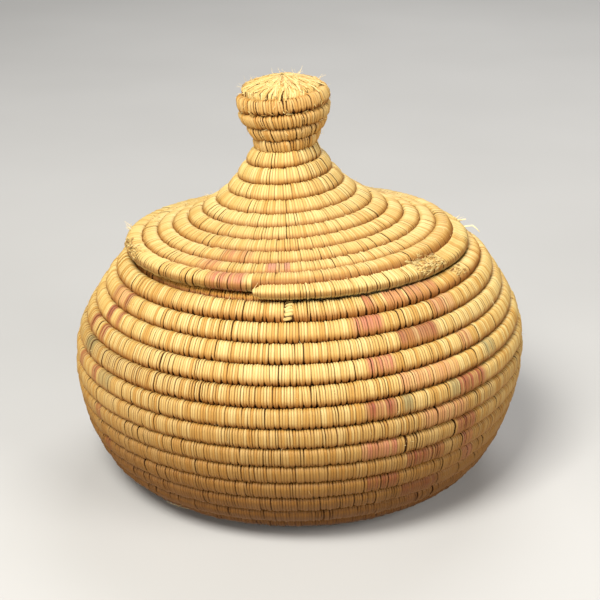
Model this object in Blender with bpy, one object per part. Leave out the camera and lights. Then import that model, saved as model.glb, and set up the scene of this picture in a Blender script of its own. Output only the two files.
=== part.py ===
"""A round coiled grass basket with a fitted lid and a knob.

The basket and its lid are each sewn from one long coil of grass. The coil starts at a small knot,
lies round and round in a flat spiral, and then climbs on itself to make the wall. Here each stretch
of coil that has its own job is one unbroken six-sided tube, and the stretches meet end to end.
Sizes are in metres. The basket stands on Z = 0 and its front faces -Y.
"""

import math

import bmesh
import bpy
import numpy as np
from mathutils import Vector

MM = 0.001

# The coil of the basket, measured from one round to the next
BODY_PITCH = 8.36 * MM
RIM_PITCH = 7.1 * MM
CONE_PITCH = 7.5 * MM
EDGE_PITCH = 7.0 * MM
KNOB_PITCH = 6.43 * MM
FLANGE_PITCH = 7.2 * MM

# The clear space between two rounds, and between pieces that touch
ROUND_GAP = 1.4 * MM
CONE_ROUND_GAP = 1.2 * MM
KNOB_ROUND_GAP = 1.2 * MM
PIECE_GAP = 0.3 * MM

# The whole basket: the widest radius and the height of the mouth through the middle of the coil,
# and the height of the lid above its seat
BELLY_RADIUS = 95.7 * MM
MOUTH_HEIGHT = 100.2 * MM
LID_HEIGHT = 67.6 * MM

# The basket's outline from the base up, as shares of the belly's radius and of the mouth's height
BASE_EDGE_SHARE = 0.637
HEEL = (0.832, 0.104)
LOW_WALL = (0.930, 0.242)
BELLY_FOOT = (0.984, 0.414)
BELLY = (1.0, 0.564)
BELLY_TOP = (0.976, 0.704)
SHOULDER = (0.882, 0.872)
MOUTH = (0.785, 1.0)
RIM_END = (0.723, 1.025)

# The lid's outline in the same way, from the top of the knob down, as shares of the mouth's radius
# and of the lid's height
KNOB_RIM = (0.210, 0.964)
KNOB_BULGE = (0.225, 0.866)
KNOB_WAIST = (0.213, 0.818)
NECK = (0.143, 0.620)
CONE_TOP = (0.191, 0.512)
CONE_HIGH = (0.337, 0.318)
CONE_LOW = (0.531, 0.193)
BRIM = (0.799, 0.078)
BRIM_OUTER = (0.909, 0.058)
EDGE_END = (1.001, 0.055)

# The lid's seat above the mouth, and the ring under the lid that keeps it in the mouth
SEAT_RISE = 6.0 * MM
FLANGE_SHARE = 0.780
FLANGE_ROUNDS = 1.75

# Where the coils end at the front, as angles seen from above, and how the ends thin out
RIM_END_ANGLE = math.radians(262.0)
EDGE_END_ANGLE = math.radians(257.0)
RIM_END_HALF = 1.9 * MM
EDGE_END_HALF = 2.6 * MM
TIP_SHARE = 0.55
START_SHARE = 0.6

# The start knots that the two spirals grow from
BODY_START_RADIUS = 7.0 * MM
KNOB_START_RADIUS = 5.2 * MM
KNOT_ROUNDING = 0.6 * MM
KNOT_REACH = 0.96

# How the handmade shape leans
BODY_LEAN = 0.026
BODY_TILT = math.radians(1.6)
LEVEL_SHARE = 0.85
LID_SHIFT = -1.2 * MM
LID_TILT = math.radians(2.2)
KNOB_LEAN = 2.8 * MM
LEAN_FROM = 0.0
LEAN_TO = 0.92

# How far the basket's mouth sags, most of all at the back
SAG = 5.8 * MM
SAG_ANGLE = math.radians(85.0)

# How far the lid hangs lower outwards, and its last round once more: everywhere, to the back and
# to the right. It follows the mouth's sag too, less a lift, and the back hangs a little more still.
HANG = (0.9 * MM, 0.9 * MM, -1.2 * MM)
BACK_LIFT = 3.8 * MM
LIFT_ANGLE = math.radians(100.0)
BACK_HANG = 1.5 * MM
BACK_ANGLE = math.radians(75.0)
HANG_FROM = 0.1
HANG_TO = 0.7
EDGE_HANG = (3.2 * MM, 1.9 * MM, 2.2 * MM)
EDGE_BACK_HANG = -2.4 * MM
EDGE_LEFT_HANG = 0.5 * MM
LEFT_ANGLE = math.radians(155.0)

# The rounds of each named stretch, counted back from the coil's outer end
RIM_ROUNDS = 1
UPPER_WALL_ROUNDS = 6
LOWER_WALL_ROUNDS = 6
EDGE_ROUNDS = 1

POINTS_PER_ROUND = 22
FLAT_ROLL = math.radians(30.0)
FEW_POINTS_IN_BASE = 58.0 * MM
FEW_POINTS_IN_LID = 38.0 * MM
FLAT_SHARE = 0.1
LEAST_GAP = 0.4 * MM

STRAW = (0.72, 0.46, 0.18, 1.0)
PALE_STRAW = (0.80, 0.55, 0.25, 1.0)
BROWN_GRASS = (0.42, 0.20, 0.06, 1.0)
AMBER_GRASS = (0.62, 0.33, 0.10, 1.0)


def smooth_step(value, low, high):
    share = min(max((value - low) / (high - low), 0.0), 1.0)
    return share * share * (3.0 - 2.0 * share)


def half_of(pitch, gap=ROUND_GAP):
    """Half the thickness of a coil from flat to flat, which leaves the gap between its rounds."""
    return (pitch - gap) / 2.0


def corner_radius(half):
    """The distance from the middle of the six-sided coil to its corners."""
    return half / math.cos(math.radians(30.0))


def scaled(points, radius, height):
    """Points given as shares, in metres."""
    return [(share[0] * radius, share[1] * height) for share in points]


BODY_HALF = half_of(BODY_PITCH)
CONE_HALF = half_of(CONE_PITCH, CONE_ROUND_GAP)
KNOB_HALF = half_of(KNOB_PITCH, KNOB_ROUND_GAP)
FLANGE_HALF = half_of(FLANGE_PITCH)
BASE_HEIGHT = corner_radius(BODY_HALF) - FLAT_SHARE * 2.0 * corner_radius(BODY_HALF)
MOUTH_RADIUS = MOUTH[0] * BELLY_RADIUS
FLANGE_RADIUS = FLANGE_SHARE * MOUTH_RADIUS


class Outline:
    """A smooth curve through a few points, looked up by the distance along it."""

    STEPS = 40

    def __init__(self, first, points, last):
        """A straight run from first, a smooth curve through points, and a straight run to last."""
        knots = [Vector(point) for point in (first, *points, last)]
        path = [knots[0]]
        for index in range(1, len(knots) - 2):
            path.extend(self.bend(*knots[index - 1 : index + 3]))
        path.append(knots[-2])
        path.append(knots[-1])
        self.points = np.array(path)
        lengths = np.linalg.norm(np.diff(self.points, axis=0), axis=1)
        self.along = np.concatenate([[0.0], np.cumsum(lengths)])
        self.length = self.along[-1]

    def bend(self, before, start, end, after):
        """Points of a cubic from start towards end, whose slopes follow the neighbours."""
        span = (end - start).length
        slope_in = (end - before).normalized() * span
        slope_out = (after - start).normalized() * span
        for step in range(self.STEPS):
            t = step / self.STEPS
            blend = t * t * (3.0 - 2.0 * t)
            place = start.lerp(end, blend)
            place += slope_in * (t * (1.0 - t) ** 2)
            place -= slope_out * (t * t * (1.0 - t))
            yield place

    def at(self, distance):
        radius = np.interp(distance, self.along, self.points[:, 0])
        height = np.interp(distance, self.along, self.points[:, 1])
        return float(radius), float(height)

    def slope(self, distance):
        """The angle of the outline against the horizontal, going outwards along it."""
        reach = 1.5 * MM
        low = self.at(max(distance - reach, 0.0))
        high = self.at(min(distance + reach, self.length))
        return math.atan2(high[1] - low[1], high[0] - low[0])

    def nearest(self, point):
        gaps = np.linalg.norm(self.points - np.array(point), axis=1)
        return float(self.along[int(gaps.argmin())])


class Turn:
    """One point of a coil: its middle, the half thickness there and the roll of its flats."""

    def __init__(self, place, half, roll, rounds_left):
        self.place = place
        self.half = half
        self.roll = roll
        self.rounds_left = rounds_left


def wind(outline, start, pitch_at, half_at, end_angle, growth, bend_shape, few_inside):
    """The points of one coil, from its inner start to its outer end.

    growth is 1 where the coil runs anticlockwise seen from above, and -1 where it runs clockwise.
    Rounds with a radius below few_inside have half as many points as the others.
    """
    turns = []
    distance = outline.length
    rounds = 0.0
    step = 0.5 / POINTS_PER_ROUND
    while distance - pitch_at(distance, rounds) * step > start:
        distance -= pitch_at(distance, rounds) * step
        rounds += step
        radius, height = outline.at(distance)
        angle = end_angle - growth * rounds * 2.0 * math.pi
        flat = Vector((radius * math.cos(angle), radius * math.sin(angle), height))
        roll = -growth * (outline.slope(distance) + FLAT_ROLL)
        turns.append(Turn(bend_shape(flat), half_at(distance, rounds), roll, rounds))
        step = (2.0 if radius < few_inside else 1.0) / POINTS_PER_ROUND
    turns.reverse()
    return turns


def extend_end(turns):
    """Adds the outer end, straight on from the last two points for one thickness, and thinner."""
    last, before = turns[-1], turns[-2]
    heading = (last.place - before.place).normalized()
    tip = Turn(last.place + heading * 2.0 * last.half, last.half * TIP_SHARE, last.roll, 0.0)
    return turns + [tip]


def thin_start(turns):
    """Thins the inner start, which grows to full size over the first round."""
    inner = turns[0].rounds_left
    for turn in turns:
        turn.half *= START_SHARE + (1.0 - START_SHARE) * smooth_step(inner - turn.rounds_left, 0.0, 1.0)
    return turns


def cut(turns, rounds_left, at_point=False):
    """Cuts a coil in two, square across a straight stretch, with a gap between the two ends."""
    index = min(range(len(turns)), key=lambda i: abs(turns[i].rounds_left - rounds_left))
    if at_point:
        before, after = turns[: index], turns[index + 1 :]
    else:
        index += 1 if turns[index].rounds_left > rounds_left else 0
        before, after = turns[:index], turns[index:]
    heading = (after[0].place - before[-1].place).normalized()
    middle = (after[0].place + before[-1].place) / 2.0
    half = (after[0].half + before[-1].half) / 2.0
    roll = (after[0].roll + before[-1].roll) / 2.0
    ends = [
        Turn(middle + heading * side * PIECE_GAP / 2.0, half, roll, rounds_left)
        for side in (-1.0, 1.0)
    ]
    return before + [ends[0]], [ends[1]] + after


def material(name, colour, roughness):
    made = bpy.data.materials.new(name)
    made.use_nodes = True
    shader = made.node_tree.nodes["Principled BSDF"]
    shader.inputs["Base Color"].default_value = colour
    shader.inputs["Roughness"].default_value = roughness
    shader.inputs["Metallic"].default_value = 0.0
    made.diffuse_color = colour
    return made


def tube(name, turns, colour, parent=None):
    """A six-sided tube through the turns, whose flats face the rounds beside it."""
    curve = bpy.data.curves.new(name, "CURVE")
    curve.dimensions = "3D"
    curve.twist_mode = "Z_UP"
    curve.bevel_depth = 1.0
    curve.bevel_resolution = 1
    curve.use_fill_caps = True
    spline = curve.splines.new("POLY")
    spline.points.add(len(turns) - 1)
    for point, turn in zip(spline.points, turns):
        point.co = (*turn.place, 1.0)
        point.radius = corner_radius(turn.half)
        point.tilt = turn.roll
    piece = bpy.data.objects.new(name, curve)
    bpy.context.collection.objects.link(piece)
    piece.parent = parent
    curve.materials.append(material(name, colour, 0.75))
    gap = own_gap(piece, turns)
    verdict = "clear" if gap > LEAST_GAP else "too close"
    print(f"{name}: {len(turns)} points, least gap to itself {gap / MM:.2f} mm, {verdict}")
    return piece


def own_gap(piece, turns):
    """The least distance between corner points of the tube that lie half a round or more apart."""
    seen = piece.evaluated_get(bpy.context.evaluated_depsgraph_get())
    mesh = seen.to_mesh()
    corners = np.array([vertex.co for vertex in mesh.vertices])
    seen.to_mesh_clear()
    middles = np.array([turn.place for turn in turns])
    rounds = np.array([turn.rounds_left for turn in turns])
    owner = np.linalg.norm(corners[:, None] - middles[None], axis=2).argmin(axis=1)
    apart = np.abs(rounds[owner][:, None] - rounds[owner][None]) > 0.5
    if not apart.any():
        return float("inf")
    gaps = np.linalg.norm(corners[:, None] - corners[None], axis=2)
    return float(gaps[apart].min())


def flatten_foot(piece):
    """Turns a tube into a mesh and cuts it flat on the ground, where the basket stands on it."""
    mesh = bpy.data.meshes.new_from_object(piece.evaluated_get(bpy.context.evaluated_depsgraph_get()))
    name = piece.name
    bpy.data.objects.remove(piece)
    shape = bmesh.new()
    shape.from_mesh(mesh)
    bmesh.ops.remove_doubles(shape, verts=shape.verts, dist=0.001 * MM)
    everything = shape.verts[:] + shape.edges[:] + shape.faces[:]
    bmesh.ops.bisect_plane(
        shape,
        geom=everything,
        dist=0.001 * MM,
        plane_co=(0.0, 0.0, 0.0),
        plane_no=(0.0, 0.0, -1.0),
        clear_outer=True,
    )
    rim = [edge for edge in shape.edges if edge.is_boundary]
    bmesh.ops.triangle_fill(shape, use_beauty=True, use_dissolve=False, edges=rim, normal=(0, 0, -1))
    bmesh.ops.recalc_face_normals(shape, faces=shape.faces)
    shape.to_mesh(mesh)
    shape.free()
    foot = bpy.data.objects.new(name, mesh)
    bpy.context.collection.objects.link(foot)
    return foot


def knot_outline(turns):
    """The space inside the first round, shaped like a snail, whose step meets the coil's first end."""
    first, second = turns[0], turns[1]
    heading = (second.place - first.place).normalized()
    outward = Vector((heading.y, -heading.x, 0.0))
    if outward.dot(first.place) < 0.0:
        outward.negate()
    step = first.place - heading * PIECE_GAP
    corners = [step - outward * (first.half + PIECE_GAP)]
    for turn in turns[1:]:
        if first.rounds_left - turn.rounds_left > KNOT_REACH:
            break
        flat = Vector((turn.place.x, turn.place.y, 0.0))
        corners.append(flat * (1.0 - (turn.half + 1.5 * PIECE_GAP) / flat.length))
    last = corners[-1].length
    corners.append(step + outward * (last - step.to_2d().length))
    return corners


def knot(name, turns, height, colour, parent=None):
    """The small start knot in the middle of a flat spiral, with a rounded upper edge."""
    shape = bmesh.new()
    ring = [shape.verts.new((corner.x, corner.y, 0.0)) for corner in knot_outline(turns)]
    foot = shape.faces.new(ring)
    lifted = bmesh.ops.extrude_face_region(shape, geom=[foot])["geom"]
    raised = [item for item in lifted if isinstance(item, bmesh.types.BMVert)]
    bmesh.ops.translate(shape, verts=raised, vec=(0.0, 0.0, height))
    bmesh.ops.recalc_face_normals(shape, faces=shape.faces)
    rim = [edge for edge in shape.edges if all(vertex.co.z > height / 2.0 for vertex in edge.verts)]
    bmesh.ops.bevel(shape, geom=rim, offset=KNOT_ROUNDING, segments=2, profile=0.5, affect="EDGES")
    mesh = bpy.data.meshes.new(name)
    shape.to_mesh(mesh)
    shape.free()
    mesh.materials.append(material(name, colour, 0.75))
    piece = bpy.data.objects.new(name, mesh)
    bpy.context.collection.objects.link(piece)
    piece.parent = parent
    return piece


def bump(angle, middle, power):
    """One at the middle angle, falling to nothing on the other side."""
    return (0.5 + 0.5 * math.cos(angle - middle)) ** power


def sag(angle):
    """How far the mouth sags there."""
    return SAG * bump(angle, SAG_ANGLE, 1.4)


def lean_body(place):
    """Lets the mouth sag, leans the basket to its right as it rises, and tips its upper rounds."""
    height = place.z - sag(math.atan2(place.y, place.x)) * (place.z / MOUTH_HEIGHT) ** 2
    share = smooth_step(height, 0.0, LEVEL_SHARE * MOUTH_HEIGHT)
    tip = math.tan(BODY_TILT) * share * place.x
    return Vector((place.x + BODY_LEAN * height, place.y, height + tip))


def hang(place):
    """How far the lid hangs lower there."""
    angle = math.atan2(place.y, place.x)
    radius = math.hypot(place.x, place.y)
    back = bump(angle, BACK_ANGLE, 2.0)
    parts = (1.0, math.sin(angle), math.cos(angle))
    inner = sum(amount * part for amount, part in zip(HANG, parts)) + BACK_HANG * back
    inner += sag(angle) - BACK_LIFT * bump(angle, LIFT_ANGLE, 1.4)
    inner *= smooth_step(radius / MOUTH_RADIUS, HANG_FROM, HANG_TO)
    rounds = (angle - EDGE_END_ANGLE) / (2.0 * math.pi) % 1.0
    fade = 1.15 - 0.35 * rounds - 0.8 * smooth_step(rounds, 0.6, 1.0)
    edge = sum(amount * part for amount, part in zip(EDGE_HANG, parts)) * fade
    edge += EDGE_BACK_HANG * back + EDGE_LEFT_HANG * bump(angle, LEFT_ANGLE, 2.0)
    beyond = radius + EDGE_PITCH * rounds - EDGE_END[0] * MOUTH_RADIUS
    return inner + edge * smooth_step(beyond / EDGE_PITCH, -0.93, 0.14)


def bend_lid(place):
    """Bends the top of the lid towards its left, and lets its edge hang."""
    aside = KNOB_LEAN * smooth_step(place.z / LID_HEIGHT, LEAN_FROM, LEAN_TO)
    return Vector((place.x - aside, place.y, place.z - hang(place)))


def body_pitch(distance, rounds):
    return RIM_PITCH if rounds < RIM_ROUNDS else BODY_PITCH


def body_half(distance, rounds):
    thin = 1.0 - min(rounds / RIM_ROUNDS, 1.0)
    return BODY_HALF + (RIM_END_HALF - BODY_HALF) * thin


def make_basket():
    base_edge = (BASE_EDGE_SHARE * BELLY_RADIUS, BASE_HEIGHT)
    wall = (HEEL, LOW_WALL, BELLY_FOOT, BELLY, BELLY_TOP, SHOULDER, MOUTH, RIM_END)
    *wall, rim_end = scaled(wall, BELLY_RADIUS, MOUTH_HEIGHT)
    outline = Outline((0.0, BASE_HEIGHT), [base_edge, *wall], rim_end)
    coil = wind(
        outline,
        BODY_START_RADIUS,
        body_pitch,
        body_half,
        RIM_END_ANGLE,
        1,
        lean_body,
        FEW_POINTS_IN_BASE,
    )
    coil = thin_start(extend_end(coil))
    rest, rim = cut(coil, RIM_ROUNDS)
    rest, upper = cut(rest, RIM_ROUNDS + UPPER_WALL_ROUNDS)
    base, lower = cut(rest, RIM_ROUNDS + UPPER_WALL_ROUNDS + LOWER_WALL_ROUNDS)
    knot("base_start_knot", base, 2.0 * BASE_HEIGHT, STRAW)
    flatten_foot(tube("base_coil", base, STRAW))
    tube("lower_wall_coil", lower, STRAW)
    tube("upper_wall_coil", upper, PALE_STRAW)
    tube("mouth_rim_coil", rim, BROWN_GRASS)


def make_lid():
    knob_points = (KNOB_RIM, KNOB_BULGE, KNOB_WAIST)
    cone_points = (NECK, CONE_TOP, CONE_HIGH, CONE_LOW, BRIM, BRIM_OUTER, EDGE_END)
    knob_points = scaled(knob_points, MOUTH_RADIUS, LID_HEIGHT)
    *cone_points, edge_end = scaled(cone_points, MOUTH_RADIUS, LID_HEIGHT)
    outline = Outline((0.0, LID_HEIGHT), knob_points + cone_points, edge_end)
    neck = outline.nearest(cone_points[0])
    neck_height = cone_points[0][1]

    def pitch_at(distance, rounds):
        if rounds < EDGE_ROUNDS:
            return EDGE_PITCH
        blend = smooth_step(distance, neck - KNOB_PITCH, neck + CONE_PITCH)
        return KNOB_PITCH + (CONE_PITCH - KNOB_PITCH) * blend

    def half_at(distance, rounds):
        thin = 1.0 - min(rounds / EDGE_ROUNDS, 1.0)
        blend = smooth_step(distance, neck - KNOB_PITCH, neck + 2.0 * CONE_PITCH)
        full = KNOB_HALF + (CONE_HALF - KNOB_HALF) * blend
        return full + (EDGE_END_HALF - full) * thin

    carrier = bpy.data.objects.new("lid_axis", None)
    bpy.context.collection.objects.link(carrier)
    carrier.location = (LID_SHIFT, 0.0, MOUTH_HEIGHT + SEAT_RISE)
    carrier.rotation_euler = (0.0, -LID_TILT, 0.0)
    coil = wind(
        outline,
        KNOB_START_RADIUS,
        pitch_at,
        half_at,
        EDGE_END_ANGLE,
        -1,
        bend_lid,
        FEW_POINTS_IN_LID,
    )
    coil = thin_start(extend_end(coil))
    rest, edge = cut(coil, EDGE_ROUNDS)
    neck_rounds = min(coil, key=lambda turn: abs(turn.place.z - neck_height)).rounds_left
    knob, cone = cut(rest, neck_rounds, at_point=True)
    aside = Vector((KNOB_LEAN, 0.0, 0.0))
    upright = [Turn(turn.place + aside, turn.half, turn.roll, turn.rounds_left) for turn in knob]
    tube("knob_coil", knob, AMBER_GRASS, carrier)
    tube("lid_cone_coil", cone, STRAW, carrier)
    tube("lid_edge_coil", edge, PALE_STRAW, carrier)
    tube("lid_flange_coil", flange_turns(), STRAW, carrier)
    plug = knot("lid_start_knot", upright, 2.0 * KNOB_HALF, AMBER_GRASS, carrier)
    plug.location = (-KNOB_LEAN, 0.0, LID_HEIGHT - KNOB_HALF)


def flange_turns():
    """The ring under the lid: a coil that runs down from the brim in nearly two rounds."""
    turns = []
    count = round(FLANGE_ROUNDS * POINTS_PER_ROUND)
    below_brim = corner_radius(CONE_HALF) + corner_radius(FLANGE_HALF) + PIECE_GAP
    for index in range(count + 1):
        rounds = index / POINTS_PER_ROUND
        angle = EDGE_END_ANGLE + 2.0 * math.pi * rounds
        height = BRIM[1] * LID_HEIGHT - below_brim - FLANGE_PITCH * rounds
        place = Vector((FLANGE_RADIUS * math.cos(angle), FLANGE_RADIUS * math.sin(angle), height))
        turns.append(Turn(bend_lid(place), FLANGE_HALF, 0.0, FLANGE_ROUNDS - rounds))
    return turns


for old in list(bpy.data.objects):
    bpy.data.objects.remove(old)
make_basket()
make_lid()
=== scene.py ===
"""A round coiled grass basket with a fitted lid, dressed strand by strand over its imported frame.

Each coil is a bundle of dry grass, wrapped by flat sewing strands that bite into the round before it.
One strand is modelled, repeated in a row, and the row is laid along the coil's spiral.
"""

import math
from dataclasses import dataclass, replace

import bpy
import numpy as np
from bpy.props import FloatProperty, FloatVectorProperty, IntProperty
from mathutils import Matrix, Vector


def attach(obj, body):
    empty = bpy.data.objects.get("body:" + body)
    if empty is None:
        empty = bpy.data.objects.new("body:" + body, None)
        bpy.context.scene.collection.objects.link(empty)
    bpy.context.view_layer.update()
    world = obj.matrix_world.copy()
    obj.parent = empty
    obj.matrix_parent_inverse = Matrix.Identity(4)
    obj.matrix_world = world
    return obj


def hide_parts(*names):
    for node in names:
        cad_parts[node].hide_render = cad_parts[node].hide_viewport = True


bl_info = {
    "name": "Coiled Grass Basket",
    "version": (1, 0, 0),
    "blender": (4, 5, 0),
    "location": "View3D > Sidebar > Basket",
    "description": "Sews a coiled grass basket and its lid strand by strand over a packed frame",
    "category": "Add Mesh",
}

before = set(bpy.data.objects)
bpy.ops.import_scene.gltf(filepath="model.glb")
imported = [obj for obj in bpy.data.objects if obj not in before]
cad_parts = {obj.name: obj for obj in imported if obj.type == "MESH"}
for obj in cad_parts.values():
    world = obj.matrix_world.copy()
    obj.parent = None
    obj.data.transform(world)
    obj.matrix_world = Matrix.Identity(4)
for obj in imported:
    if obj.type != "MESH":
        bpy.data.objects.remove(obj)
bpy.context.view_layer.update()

MM = 0.001

# The basket and its lid, through the middle of the coil
BELLY_RADIUS = 95.7 * MM
MOUTH_HEIGHT = 100.2 * MM
LID_HEIGHT = 67.6 * MM
MOUTH_RADIUS = 0.785 * BELLY_RADIUS
SEAT_HEIGHT = MOUTH_HEIGHT + 6.0 * MM
BASE_HEIGHT = 3.22 * MM

# Outlines from the middle of each coil's start outwards, as shares of radius and height
BODY_POINTS = (
    (0.637, BASE_HEIGHT / MOUTH_HEIGHT),
    (0.832, 0.104),
    (0.930, 0.242),
    (0.984, 0.414),
    (1.0, 0.564),
    (0.976, 0.704),
    (0.882, 0.872),
    (0.785, 1.0),
    (0.723, 1.025),
)
LID_POINTS = (
    (0.210, 0.964),
    (0.225, 0.866),
    (0.213, 0.818),
    (0.143, 0.620),
    (0.191, 0.512),
    (0.337, 0.318),
    (0.531, 0.193),
    (0.799, 0.078),
    (0.909, 0.058),
    (1.001, 0.055),
)
NECK = LID_POINTS[3]
BRIM_HEIGHT = LID_POINTS[7][1] * LID_HEIGHT
EDGE_RADIUS = LID_POINTS[9][0] * MOUTH_RADIUS
FLANGE_RADIUS = 0.780 * MOUTH_RADIUS
FLANGE_ROUNDS = 1.75
FLANGE_DROP = 7.26 * MM

# The sewing strands of the basket's wall
STRAND_SPACING = 1.12 * MM
STRAND_HEIGHT = 0.28 * MM
STRAND_SLANT = 0.7 * MM
KNOB_SPACING = 1.08 * MM

# From one round of coil to the next
BODY_PITCH = 8.36 * MM
RIM_PITCH = 7.1 * MM
CONE_PITCH = 7.5 * MM
EDGE_PITCH = 7.0 * MM
KNOB_PITCH = 6.43 * MM
FLANGE_PITCH = 7.2 * MM

# Half the thickness of a coil, where it isn't half of its pitch
RIM_HALF = 2.3 * MM
EDGE_HALF = 3.0 * MM
FLANGE_HALF = 3.35 * MM
START_HALF = 0.9 * MM
START_GROWTH = 0.55

# Where the coils end, seen from above, and how much of a round the lid's last strands stop short
RIM_END_ANGLE = math.radians(262.0)
EDGE_END_ANGLE = math.radians(257.0)
LID_TIP = 0.014

# How the basket and the lid are out of true
BODY_LEAN = 0.026
BODY_TILT = math.radians(1.6)
LID_TILT = math.radians(2.2)
LID_SHIFT = -1.2 * MM
KNOB_LEAN = 2.8 * MM
KNOB_SHIFT = 1.0 * MM
DOME = 1.8 * MM
FOOT = 1.3 * MM

# How far the lid and its last round hang: all round, more at the back, and more at the right
LID_HANG = np.array((0.9, 0.9, -1.2)) * MM
EDGE_HANG = np.array((3.2, 1.9, 2.2)) * MM

# Bends in the mouth and the lid: how deep, where their middle is in degrees, and how narrow
MOUTH_SAG = (5.8 * MM, 85.0, 1.4)
SEAT_RISE = (-3.8 * MM, 100.0, 1.4)
BRIM_SAG = (1.5 * MM, 75.0, 2.0)
EDGE_SAG = (0.5 * MM, 155.0, 2.0)
EDGE_RISE = (-2.4 * MM, 75.0, 2.0)


def smooth_step(value, low, high):
    share = np.clip((value - low) / (high - low), 0.0, 1.0)
    return share * share * (3.0 - 2.0 * share)


class Outline:
    """A smooth curve through a few points, looked up by the distance along it."""

    STEPS = 40

    def __init__(self, first, shares, radius, height):
        knots = [Vector(first)]
        knots += [Vector((share[0] * radius, share[1] * height)) for share in shares]
        path = [knots[0]]
        for index in range(1, len(knots) - 2):
            path.extend(self.bend(*knots[index - 1 : index + 3]))
        path += knots[-2:]
        self.points = np.array(path)
        lengths = np.linalg.norm(np.diff(self.points, axis=0), axis=1)
        self.along = np.concatenate([[0.0], np.cumsum(lengths)])
        self.length = self.along[-1]

    def bend(self, before, start, end, after):
        span = (end - start).length
        slope_in = (end - before).normalized() * span
        slope_out = (after - start).normalized() * span
        for step in range(self.STEPS):
            t = step / self.STEPS
            place = start.lerp(end, t * t * (3.0 - 2.0 * t))
            yield place + slope_in * (t * (1.0 - t) ** 2) - slope_out * (t * t * (1.0 - t))

    def at(self, distance):
        radius = np.interp(distance, self.along, self.points[:, 0])
        height = np.interp(distance, self.along, self.points[:, 1])
        return radius, height

    def heading(self, distance):
        """The way the outline runs outwards there, as parts of one along radius and height."""
        reach = 1.5 * MM
        low = self.at(np.clip(distance - reach, 0.0, self.length))
        high = self.at(np.clip(distance + reach, 0.0, self.length))
        span = np.hypot(high[0] - low[0], high[1] - low[1])
        return (high[0] - low[0]) / span, (high[1] - low[1]) / span


class Coil:
    """A spiral of grass. Its rounds are counted back from its outer end, which is round nought."""

    STEP = 1.0 / 96.0
    TIP = 0.012
    START = 1.2 * MM

    def __init__(self, outline, pitch_at, half_at, end_angle, growth, side, shape):
        self.outline, self.end_angle, self.growth = outline, end_angle, growth
        self.side, self.shape = side, shape
        rounds, distances = [-self.TIP, 0.0], [outline.length, outline.length]
        while distances[-1] > self.START:
            distances.append(distances[-1] - pitch_at(distances[-1], rounds[-1]) * self.STEP)
            rounds.append(rounds[-1] + self.STEP)
        self.rounds, self.distances = np.array(rounds), np.array(distances)
        self.halves = np.array([half_at(d, r) for d, r in zip(distances, rounds)])
        radii = np.maximum(outline.at(self.distances)[0], 1.0 * MM)
        steps = np.diff(self.rounds) * 2.0 * math.pi * (radii[1:] + radii[:-1]) / 2.0
        self.lengths = np.concatenate([[0.0], np.cumsum(steps)])
        self.start = self.rounds[-1]

    def half(self, rounds):
        return np.interp(rounds, self.rounds, self.halves)

    def length_at(self, rounds):
        return np.interp(rounds, self.rounds, self.lengths)

    def rounds_at(self, length):
        return np.interp(length, self.lengths, self.rounds)

    def radius_at(self, rounds):
        return self.outline.at(np.interp(rounds, self.rounds, self.distances))[0]

    def rounds_inside(self, distance):
        """The round at this distance along the outline."""
        return float(np.interp(-distance, -self.distances, self.rounds))

    def place(self, rounds, across, out):
        """Points beside the middle of the coil: across the round, and out of the surface."""
        distance = np.interp(rounds, self.rounds, self.distances)
        angle = self.end_angle - self.growth * 2.0 * math.pi * rounds
        return self.beside(distance, angle, out, across)

    def beside(self, distance, angle, out, across=0.0):
        """Points beside the outline at that distance along it, and at that angle seen from above."""
        radius, height = self.outline.at(distance)
        heading_r, heading_z = self.outline.heading(distance)
        radius = radius + across * heading_r + self.side * out * heading_z
        height = height + across * heading_z - self.side * out * heading_r
        flat = np.stack([radius * np.cos(angle), radius * np.sin(angle), height], axis=-1)
        return self.shape(flat.reshape(-1, 3)).reshape(flat.shape)


def bend_depth(angle, bend):
    """How deep a bend is there: deepest in its middle, and nothing on the other side."""
    depth, middle, narrowness = bend
    return depth * (0.5 + 0.5 * np.cos(angle - math.radians(middle))) ** narrowness


def lean_body(places):
    """Lets the mouth sag, leans the basket, tips its upper rounds, and lays the foot flat on the ground."""
    x, y, z = places.T
    z = z - bend_depth(np.arctan2(y, x), MOUTH_SAG) * (z / MOUTH_HEIGHT) ** 2
    raised = z + math.tan(BODY_TILT) * smooth_step(z, 0.0, 0.85 * MOUTH_HEIGHT) * x
    settled = np.where(raised < FOOT, FOOT * np.exp((raised - FOOT) / FOOT), raised)
    return np.stack([x + BODY_LEAN * z, y, settled], axis=1)


def hang(x, y):
    """How far the lid hangs lower outwards, and its last round once more."""
    angle, radius = np.arctan2(y, x), np.hypot(x, y)
    parts = np.stack([np.ones(len(x)), np.sin(angle), np.cos(angle)])
    inner = LID_HANG @ parts + sum(bend_depth(angle, bend) for bend in (MOUTH_SAG, SEAT_RISE, BRIM_SAG))
    inner *= smooth_step(radius / MOUTH_RADIUS, 0.1, 0.7)
    rounds = (angle - EDGE_END_ANGLE) / (2.0 * math.pi) % 1.0
    fade = 1.15 - 0.35 * rounds - 0.8 * smooth_step(rounds, 0.6, 1.0)
    edge = EDGE_HANG @ parts * fade + bend_depth(angle, EDGE_SAG) + bend_depth(angle, EDGE_RISE)
    beyond = radius + EDGE_PITCH * rounds - EDGE_RADIUS
    return inner + edge * smooth_step(beyond / EDGE_PITCH, -0.93, 0.14)


def lean_lid(places):
    """Bends the knob to one side, lets the edge hang, and seats the tipped lid on the mouth."""
    x, y, z = places.T
    bent = x - KNOB_LEAN * smooth_step(z / LID_HEIGHT, 0.0, 0.92)
    bent += KNOB_SHIFT * smooth_step(z / LID_HEIGHT, 0.45, 0.75)
    low = z - hang(x, y)
    cos, sin = math.cos(LID_TILT), math.sin(LID_TILT)
    return np.stack([bent * cos - low * sin + LID_SHIFT, y, bent * sin + low * cos + SEAT_HEIGHT], axis=1)


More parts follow.
